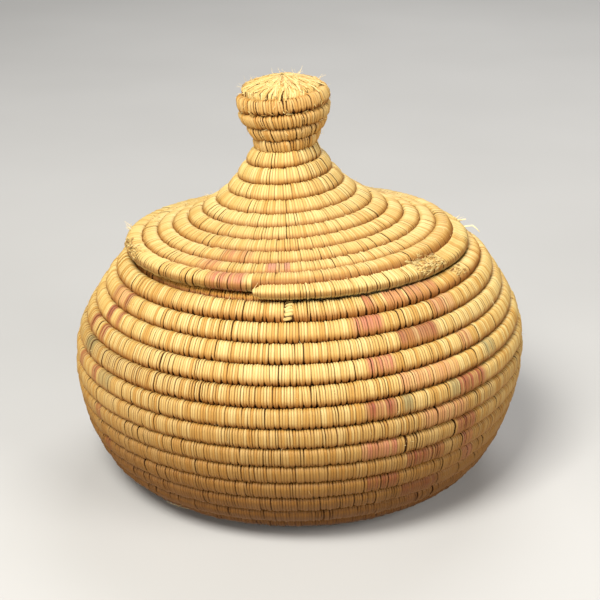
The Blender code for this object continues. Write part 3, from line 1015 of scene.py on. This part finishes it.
# Where cut straws lie on a coil: from and to in rounds, from and to round it in degrees,
# how many, how long, how far they turn from the coil, and how high they lie
BODY_PATCHES = (
    (0.807, 0.823, -40.0, 30.0, 46, 2.6 * MM, 0.12, 0.40 * MM),
    (1.300, 1.330, -30.0, 40.0, 14, 2.6 * MM, 0.5, 0.4 * MM),
)
LID_PATCHES = (
    (0.154, 0.188, -40.0, 88.0, 170, 2.8 * MM, 0.22, 0.55 * MM),
    (1.150, 1.176, 20.0, 70.0, 22, 2.0 * MM, 0.6, 0.5 * MM),
    (0.806, 0.858, 0.0, 85.0, 110, 3.0 * MM, 0.3, 0.5 * MM),
    (13.90, 14.45, 20.0, 60.0, 26, 2.0 * MM, 0.9, 0.5 * MM),
)

# Tufts of straw that stand off a coil: where in rounds and in degrees round it, how many,
# how long, and their mean heading along the coil, across it and out of it
BODY_TUFTS = (
    (13.080, 20.0, 3, 4.0 * MM, (0.0, -1.0, 0.6)),
    (7.905, 10.0, 2, 2.6 * MM, (0.8, 0.1, 0.5)),
    (2.140, 0.0, 3, 2.2 * MM, (-0.7, 0.4, 0.5)),
)
LID_TUFTS = (
    (0.774, 25.0, 12, 3.0 * MM, (0.3, -0.2, 0.9)),
    (1.755, -10.0, 8, 2.4 * MM, (-0.3, -0.5, 0.8)),
    (2.660, -20.0, 5, 2.0 * MM, (0.3, -0.4, 0.9)),
    (2.710, -25.0, 5, 2.2 * MM, (0.1, -0.3, 0.9)),
    (0.315, 20.0, 7, 2.6 * MM, (0.2, -0.3, 0.8)),
)

# Single straws that stick out, and their paths in millimetres
LONG_PATH = ((-1.5, 0.0, 0.0), (1.0, 0.0, 0.5), (3.6, 0.0, 0.7), (5.2, 0.0, -0.6), (6.8, 0.0, -2.4))
SHORT_PATH = ((-1.5, 0.0, 0.0), (0.5, 0.0, 0.4), (1.6, 0.0, 0.7), (2.8, 0.0, 0.9))

# Where they are in rounds and in degrees round the coil, how wide, and along which path
LID_STRAWS = ((0.300, 70.0, 0.95 * MM, LONG_PATH), (0.317, 60.0, 1.0 * MM, SHORT_PATH))

# Fuzz: on which node, from and to in rounds and then in degrees round it, how many, and how long
BODY_FUZZ = (
    ("upper_wall_coil", (1.0, 7.0), (-70.0, 70.0), 130, 2.2 * MM),
    ("lower_wall_coil", (7.0, 13.0), (-70.0, 70.0), 110, 2.2 * MM),
)
LID_FUZZ = (
    ("lid_cone_coil", (0.0, 10.6), (-75.0, 60.0), 170, 2.2 * MM),
    ("knob_coil", (10.6, 15.0), (-70.0, 70.0), 110, 1.9 * MM),
    ("lid_start_knot", (14.3, 16.6), (-60.0, 60.0), 170, 2.4 * MM),
)

# Each set of loose straws has its own row of dice
BODY_FRAY_SEED, LID_FRAY_SEED, RING_SEED = 101, 202, 303

# Which rounds each node's stretch of coil has, from its outer end to its inner one
BODY_KNOT, LID_KNOT = BODY.rounds_inside(7.0 * MM), LID.rounds_inside(5.2 * MM)
FIRST_STRAND, LAST_STRAND = -0.011, -0.02
BODY_STRETCHES = {
    "base_start_knot": (BODY_KNOT, BODY.start + LAST_STRAND),
    "base_coil": (13.0, BODY_KNOT),
    "lower_wall_coil": (7.0, 13.0),
    "upper_wall_coil": (1.0, 7.0),
    "mouth_rim_coil": (FIRST_STRAND, 1.0),
}
LID_STRETCHES = {
    "lid_start_knot": (LID_KNOT, LID.start + LAST_STRAND),
    "knob_coil": (LID.neck, LID_KNOT),
    "lid_cone_coil": (1.0, LID.neck),
    "lid_edge_coil": (LID_TIP + FIRST_STRAND, 1.0),
}


# From one strand to the next where they don't show much
HIDDEN_SPACING = 1.5 * MM


def settings(context):
    return context.scene.basket_strands, context.scene.basket_colours


def keep(piece, node, material):
    """Gives a piece its material and its body, and hides the frame's node that it stands for."""
    piece.data.materials.clear()
    piece.data.materials.append(material)
    body = "basket" if node in BODY_STRETCHES else "lid"
    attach(piece, body)
    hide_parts(node)


@dataclass
class Grass:
    """What a coil is made of: its spiral, its dyed and worn stretches, and its materials."""

    coil: Coil
    dyes: tuple
    worn: tuple
    strands: bpy.types.Material
    bundle: bpy.types.Material


def dress(context, grass, node, outer, inner, sewing, full=False):
    """Lays the bundle of one stretch of coil, and sews it all round, or outside and then inside."""
    sizes, colours = settings(context)
    dice = np.random.default_rng([sizes.seed, len(node), int(outer * 10.0 + 100.0)])
    keep(roll_bundle(f"{node}_bundle", grass.coil, outer, inner, sewing), node, grass.bundle)
    reach = math.radians(sewing.outside)
    sides = (("outer_strands", -reach, reach, 9), ("inner_strands", reach, 2.0 * math.pi - reach, 5))
    if full:
        sides = (("strands", -math.pi, math.pi, 14),)
    for side, start, end, steps in sides:
        plan = plan_strands(grass.coil, outer, inner, sewing, dice)
        dye_strands(plan, grass.dyes, colours, dice)
        if side != "inner_strands":
            plan = wear(plan, grass.worn, dice)
        piece = sew(f"{node}_{side}", grass.coil, plan, start, end, steps, sewing)
        keep(piece, node, grass.strands)


class BASKET_OT_sew_body(bpy.types.Operator):
    """Coils and sews the basket from the middle of its base to the rim of its mouth"""

    bl_idname = "basket.sew_body"
    bl_label = "Sew Basket"

    def execute(self, context):
        sizes, colours = settings(context)
        # The basket's straw takes painted shade towards its foot
        strands = strand_material("basket straw", colours, 0.35, 0.97)
        grass = Grass(BODY, BODY_DYES, BODY_WEAR, strands, bundle_material("basket bundle", colours))
        wall = Sewing(spacing=sizes.spacing, height=sizes.height, slant=sizes.slant)
        base = replace(wall, spacing=HIDDEN_SPACING)
        # The rim takes a little painted shade on its last round, under the lid's edge
        rim = replace(wall, height=0.40 * MM, slant=1.3 * MM, pinch=0.3, rough=1.6, last_round_shade=0.08)
        for node, stretch in BODY_STRETCHES.items():
            full = node == "mouth_rim_coil"
            sewing = rim if full else base if node.startswith("base") else wall
            dress(context, grass, node, *stretch, sewing, full)
        return {"FINISHED"}


class BASKET_OT_sew_lid(bpy.types.Operator):
    """Coils and sews the lid from the top of its knob to its edge, and the ring under it"""

    bl_idname = "basket.sew_lid"
    bl_label = "Sew Lid"

    def execute(self, context):
        sizes, colours = settings(context)
        strands = strand_material("lid straw", colours, 0.25, edges=0.55)
        amber = strand_material("knob straw", colours, 1.0, edges=0.65, cloud=KNOB_CLOUD)
        lid = Grass(LID, LID_DYES, LID_WEAR, strands, bundle_material("lid bundle", colours))
        cone = Sewing(
            spacing=sizes.spacing * 0.98,
            height=0.24 * MM,
            slant=sizes.slant * 0.6,
            pinch_side=1.0,
            pinch=0.22,
            narrow=0.14,
            depth=0.9,
            inner_depth=0.85,
            power=0.70,
            upper_power=0.50,
            grouping=(1, 1, 2, 2),
            mixed=0.6,
        )
        # The lid's edge takes painted seam shade only close to its lower seam
        edge = replace(cone, shade=(0.75, 1.10), height=0.27 * MM, power=0.95, upper_power=0.70)
        knob = Sewing(
            spacing=sizes.knob_spacing,
            height=0.40 * MM,
            slant=0.9 * MM,
            pinch_side=1.0,
            pinch=0.85,
            grouping=(2, 2, 2, 1),
            outside=125.0,
            reach=0.05,
            depth=0.88,
            rough=1.8,
            flatten=(LID.rounds_inside(13.5 * MM), LID.rounds_inside(9.0 * MM), 0.6),
        )
        for node in ("lid_start_knot", "knob_coil"):
            dress(context, replace(lid, strands=amber), node, *LID_STRETCHES[node], knob)
        dress(context, lid, "lid_cone_coil", *LID_STRETCHES["lid_cone_coil"], cone)
        dress(context, lid, "lid_edge_coil", *LID_STRETCHES["lid_edge_coil"], edge, True)
        flange = Sewing(spacing=HIDDEN_SPACING, slant=0.5 * MM)
        ring = replace(lid, coil=FLANGE, dyes=(), worn=())
        dress(context, ring, "lid_flange_coil", FIRST_STRAND, FLANGE_ROUNDS, flange, True)
        return {"FINISHED"}


def join_laid(laid):
    """Joins pairs of places and ways out into one pair."""
    return (np.concatenate(parts) for parts in zip(*laid))


# Long stitches on the knob: how many, how far in they reach at least and at most, and how high
CAP_LAYERS = (
    (210, 0.88, 1.02, 0.0),
    (120, 0.45, 0.85, 0.16 * MM),
    (90, 0.25, 0.55, 0.3 * MM),
)
# The round that they start in, where its edge is, and how much further out it gets in that round
CAP_ROUND, CAP_EDGE, CAP_TURN = 13.8, 14.08, 0.55
# How deep the lowest stitches are rooted, how far they rise and in what length, and where the rest lie
CAP_ROOT, CAP_HEIGHT, CAP_RISE = -0.5 * MM, 3.45 * MM, 3.4 * MM
CAP_TOP = 3.0 * MM
CAP_STEPS = 8


def cover_cap(material, dice):
    """Covers the top of the knob with long stitches that run from its edge in to the middle."""
    laid = []
    for count, least, most, lift in CAP_LAYERS:
        share = (np.arange(count) + dice.uniform(0.0, 1.0, count)) / count
        angle = LID.end_angle + 2.0 * math.pi * (CAP_ROUND + share[:, None])
        start = np.interp(CAP_EDGE + CAP_TURN * share, LID.rounds, LID.distances)
        if lift:
            start = start * dice.uniform(0.35, 0.98, count)
        reach = (start - 0.15 * MM) * dice.uniform(least, most, count)
        run = np.linspace(0.0, 1.0, CAP_STEPS)
        distance = np.maximum(start[:, None] - reach[:, None] * run, 0.2 * MM)
        rise = 1.0 - (1.0 - np.clip((start[:, None] - distance) / CAP_RISE, 0.0, 1.0)) ** 2
        height = CAP_TOP if lift else CAP_HEIGHT * rise + CAP_ROOT
        out = height + lift + dice.normal(0.0, 0.12 * MM, (count, 1))
        angle = angle + dice.normal(0.10, 0.16, (count, 1)) * run
        spots, above = (LID.beside(distance, angle, out + probe) for probe in (0.0, PROBE))
        laid.append((spots, above - spots))
    places, outs = join_laid(laid)
    count = len(places)
    tints = np.clip(dice.normal(0.5, 0.22, count), 0.0, 1.0)
    widths = dice.uniform(0.75, 1.25, count) * MM
    seams = np.where(dice.random(count) < 0.12, 0.5, 0.0)
    look = {"seams": seams, "flat": 0.45, "tip": 0.5}
    lay_straws("knob_cap_straws", "lid_start_knot", material, places, outs, widths, tints, **look)


# The ring's stitches: how many, how far round they go, and how far up into the brim
RING_STITCHES = 280
RING_TURN = 1.16
RING_REACH = 3.0 * MM
# Their path: how far up the ring and out of its middle, as shares of half its thickness,
# and how much of the gap above it they have crossed
RING_UP = np.array([0.1, 0.7, 1.05, 1.1, 1.2])
RING_THICK = np.array([1.02, 0.86, 0.55, 0.50, 0.40])
RING_GAP = np.array([0.0, 0.0, 0.1, 0.6, 1.0])


def sew_ring(material, dice):
    """Holds the ring up under the brim with long stitches, outside and inside."""
    spread = np.arange(RING_STITCHES) + dice.uniform(0.2, 0.8, RING_STITCHES)
    share = (RING_TURN * spread / RING_STITCHES)[:, None]
    gap = FLANGE_PITCH * np.minimum(share, 1.0) + RING_REACH
    across = -RING_UP * FLANGE_HALF - RING_GAP * gap
    rounds = np.broadcast_to(FLANGE_ROUNDS - share, across.shape)
    laid = []
    for face in (1.0, -1.0):
        thick = RING_THICK * FLANGE_HALF
        spots, above = (FLANGE.place(rounds, across, face * (thick + probe)) for probe in (0.0, PROBE))
        laid.append((spots, above - spots))
    places, outs = join_laid(laid)
    tints = np.clip(dice.normal(0.5, 0.2, len(places)), 0.0, 1.0)
    widths = dice.uniform(2.0, 2.6, len(places)) * MM
    lay_straws("ring_stitches", "lid_flange_coil", material, places, outs, widths, tints, **BROAD)


@dataclass
class Fraying:
    """Worn places and loose straws on one coil."""

    coil: Coil
    sewing: Sewing
    material: bpy.types.Material
    dice: np.random.Generator

    def add_patches(self, node, patches):
        """Lays the cut straws of every worn place."""
        dice = self.dice
        places, outs = join_laid(cut_straws(self.coil, patch, self.sewing, dice) for patch in patches)
        count = len(places)
        tints = np.clip(dice.normal(0.6, 0.3, count), 0.0, 1.0)
        seams = np.where(dice.random(count) < 0.4, dice.uniform(0.4, 1.0, count), 0.0)
        widths = dice.uniform(0.3, 0.7, count) * MM
        lay_straws(f"{node}_cut_straws", node, self.material, places, outs, widths, tints, seams)

    def add_tufts(self, node, tufts, material):
        """Stands tufts of pale straw off a coil."""
        laid, dice = [], self.dice
        for rounds, degrees, count, length, heading in tufts:
            where = rounds + dice.normal(0.0, 0.004, count)
            phi = np.radians(degrees + dice.normal(0.0, 9.0, count))
            way = np.array(heading) + dice.normal(0.0, 0.28, (count, 3))
            bend = dice.normal(0.0, 0.3, (count, 3))
            reach = length * dice.uniform(0.5, 1.15, count)
            laid.append(free_straws(self.coil, where, phi, way, bend, reach, self.sewing))
        places, outs = join_laid(laid)
        tints = dice.uniform(0.5, 1.0, len(places))
        widths = dice.uniform(0.25, 0.5, len(places)) * MM
        lay_straws(f"{node}_tufts", node, material, places, outs, widths, tints, dye=WHITE_STRAW)

    def add_loose_straws(self, node, straws):
        """Hangs single straws off a coil, each along a path of its own, in millimetres from its root."""
        for index, (rounds, degrees, width, path) in enumerate(straws):
            root = on_skin(self.coil, np.array([rounds]), np.radians([degrees]), 0.0, self.sewing)[0]
            places = (root + np.array(path) * MM)[None]
            outs = np.broadcast_to((0.0, -0.4, 1.0), places.shape)
            name, widths = f"{node}_loose_straw_{index}", np.array([width])
            look = {"tints": np.ones(1), "dye": WHITE_STRAW, "flat": 0.5, "tip": 0.6}
            lay_straws(name, node, self.material, places, outs, widths, **look)

    def add_fuzz(self, node, span, sides, count, length):
        """Scatters fine broken fibres over a stretch of coil."""
        coil, dice = self.coil, self.dice
        rounds = coil.rounds_at(dice.uniform(*coil.length_at(span), count))
        phi = np.radians(dice.uniform(*sides, count))
        way = dice.normal(0.0, 0.6, (count, 3))
        way[:, 2] = dice.uniform(0.15, 0.75, count)
        bend = dice.normal(0.0, 0.45, (count, 3))
        reach = length * dice.uniform(0.4, 1.3, count)
        places, outs = free_straws(coil, rounds, phi, way, bend, reach, self.sewing, 3)
        tints = dice.uniform(0.4, 1.0, count)
        widths = dice.uniform(0.13, 0.26, count) * MM
        lay_straws(f"{node}_fuzz", node, self.material, places, outs, widths, tints, dye=PALE_FIBRE)


# The stitches that mend the end of the rim: where round the coil, in degrees, and along it, in rounds
CROSS_STITCHES = (48.0, 17.0, 2.3, -6.3, -25.5, -54.7)
CROSS_START, CROSS_LENGTH = 0.9855, 0.0072


def add_cross_stitches(material, sewing, dice):
    """Mends the end of the rim's bundle with a few stitches that lie along the coil."""
    count = len(CROSS_STITCHES)
    steps = np.linspace(0.0, 1.0, 6)
    phi = np.radians(np.array(CROSS_STITCHES))[:, None] + 0.05 * np.sin(6.0 * steps)
    rounds = CROSS_START + CROSS_LENGTH * steps + dice.normal(0.0, 0.0005, (count, 1))
    offset = 0.05 * MM - 0.7 * MM * (2.0 * steps - 1.0) ** 6
    places, outs = on_skin(BODY, rounds, phi, offset, sewing)
    tints = dice.uniform(0.35, 0.65, count)
    widths = dice.uniform(1.75, 2.0, count) * MM
    lay_straws("rim_cross_stitches", "mouth_rim_coil", material, places, outs, widths, tints, **BROAD)


class BASKET_OT_fray_basket(bpy.types.Operator):
    """Adds the basket's worn places, mended ends and loose straws"""

    bl_idname = "basket.fray_basket"
    bl_label = "Fray Basket"

    def execute(self, context):
        sizes, colours = settings(context)
        dice = np.random.default_rng([sizes.seed, BODY_FRAY_SEED])
        straw = bpy.data.materials["basket straw"]
        sewing = Sewing(height=sizes.height)
        fraying = Fraying(BODY, sewing, straw, dice)
        fraying.add_patches("upper_wall_coil", BODY_PATCHES)
        fraying.add_tufts("lower_wall_coil", BODY_TUFTS, strand_material("loose straw", colours, 0.1))
        add_cross_stitches(straw, sewing, dice)
        for fuzz in BODY_FUZZ:
            fraying.add_fuzz(*fuzz)
        return {"FINISHED"}


class BASKET_OT_fray_lid(bpy.types.Operator):
    """Adds the long stitches on the knob and the ring, and the lid's worn places and loose straws"""

    bl_idname = "basket.fray_lid"
    bl_label = "Fray Lid"

    def execute(self, context):
        sizes = settings(context)[0]
        dice = np.random.default_rng([sizes.seed, LID_FRAY_SEED])
        straw = bpy.data.materials["lid straw"]
        cover_cap(straw, dice)
        sew_ring(straw, np.random.default_rng([sizes.seed, RING_SEED]))
        sewing = Sewing(height=sizes.height, pinch_side=1.0, depth=0.9, power=0.70, upper_power=0.50)
        fraying = Fraying(LID, sewing, straw, dice)
        fraying.add_patches("lid_edge_coil", LID_PATCHES)
        fraying.add_tufts("lid_edge_coil", LID_TUFTS, straw)
        fraying.add_loose_straws("lid_edge_coil", LID_STRAWS)
        for fuzz in LID_FUZZ:
            fraying.add_fuzz(*fuzz)
        return {"FINISHED"}


class BASKET_OT_set_stage(bpy.types.Operator):
    """Adds the pale floor, the soft lights and the camera"""

    bl_idname = "basket.set_stage"
    bl_label = "Set Stage"

    CAMERA_TILT = math.radians(22.0)
    CAMERA_DISTANCE = 0.7
    CAMERA_LENS, CAMERA_FILM = 93.66, 36.0
    CAMERA_AIM = Vector((1.8 * MM, 0.0, 75.1 * MM))
    LIGHT_AIM = Vector((0.0, 0.0, 0.08))
    FLOOR_SIZE, FLOOR_HEIGHT = 8.0, -0.2 * MM
    FLOOR_TONES = ((0.3, (0.40, 0.395, 0.38)), (0.7, (0.42, 0.415, 0.40)))
    SKY = (1.0, 0.97, 0.93, 1.0)
    SKY_STRENGTH = 0.08
    # Each lamp's place, size, power and colour
    LIGHTS = {
        "key": ((-0.34, -0.70, 1.08), 0.5, 26.5, (1.0, 0.98, 0.94)),
        "fill": ((1.0, -0.80, 0.7), 0.8, 17.0, (1.0, 0.97, 0.94)),
        "low fill": ((-0.95, -0.75, 0.30), 0.6, 8.5, (1.0, 0.98, 0.95)),
        "back": ((0.25, 1.0, 1.1), 0.9, 14.0, (0.98, 0.98, 1.0)),
    }

    def execute(self, context):
        self.add_floor()
        self.add_lights()
        self.add_camera(context)
        return {"FINISHED"}

    def add_floor(self):
        deselect()
        bpy.ops.mesh.primitive_plane_add(size=self.FLOOR_SIZE, location=(0.0, 0.0, self.FLOOR_HEIGHT))
        floor = new_piece_from_active("floor")
        bpy.ops.object.transform_apply(location=True, rotation=False, scale=False)
        recipe = Recipe("pale floor")
        place = recipe.add("ShaderNodeTexCoord").outputs["Object"]
        clouds = recipe.noise(place, 6.0, 2.0)
        colour = recipe.ramp(clouds, self.FLOOR_TONES)
        floor.data.materials.append(recipe.finish(colour, clouds, 0.1 * MM, 0.8, 0.2))

    def add_lights(self):
        for name, (place, size, power, colour) in self.LIGHTS.items():
            data = bpy.data.lights.new(name, "AREA")
            data.size, data.energy, data.color = size, power, colour
            lamp = bpy.data.objects.new(name, data)
            lamp.location = place
            lamp.rotation_euler = (self.LIGHT_AIM - Vector(place)).to_track_quat("-Z", "Y").to_euler()
            bpy.context.collection.objects.link(lamp)
        world = bpy.data.worlds.new("studio")
        world.use_nodes = True
        sky = world.node_tree.nodes["Background"]
        sky.inputs["Color"].default_value = self.SKY
        sky.inputs["Strength"].default_value = self.SKY_STRENGTH
        bpy.context.scene.world = world

    def add_camera(self, context):
        data = bpy.data.cameras.new("photo camera")
        data.sensor_width = self.CAMERA_FILM
        data.lens = self.CAMERA_LENS
        data.clip_start = 0.01
        camera = bpy.data.objects.new("photo camera", data)
        back = Vector((0.0, -math.cos(self.CAMERA_TILT), math.sin(self.CAMERA_TILT)))
        camera.location = self.CAMERA_AIM + back * self.CAMERA_DISTANCE
        camera.rotation_euler = (math.pi / 2.0 - self.CAMERA_TILT, 0.0, 0.0)
        context.collection.objects.link(camera)
        context.scene.camera = camera
        context.scene.view_settings.view_transform = "Standard"


class BASKET_PT_panel(bpy.types.Panel):
    """Lists the basket's sizes, colours and steps"""

    bl_idname = "BASKET_PT_panel"
    bl_label = "Coiled Basket"
    bl_space_type = "VIEW_3D"
    bl_region_type = "UI"
    bl_category = "Basket"

    def draw(self, context):
        for group in settings(context):
            box = self.layout.box()
            for name in group.__class__.__annotations__:
                box.prop(group, name)
        for operator in OPERATORS:
            self.layout.operator(operator.bl_idname)


OPERATORS = (
    BASKET_OT_set_stage,
    BASKET_OT_sew_body,
    BASKET_OT_sew_lid,
    BASKET_OT_fray_basket,
    BASKET_OT_fray_lid,
)
CLASSES = (StrandSizes, GrassColours, *OPERATORS, BASKET_PT_panel)


def register():
    for entry in CLASSES:
        bpy.utils.register_class(entry)
    bpy.types.Scene.basket_strands = bpy.props.PointerProperty(type=StrandSizes)
    bpy.types.Scene.basket_colours = bpy.props.PointerProperty(type=GrassColours)


def unregister():
    del bpy.types.Scene.basket_colours
    del bpy.types.Scene.basket_strands
    for entry in reversed(CLASSES):
        bpy.utils.unregister_class(entry)


def main():
    register()
    bpy.ops.basket.set_stage()
    bpy.ops.basket.sew_body()
    bpy.ops.basket.sew_lid()
    bpy.ops.basket.fray_basket()
    bpy.ops.basket.fray_lid()


if __name__ == "__main__":
    main()
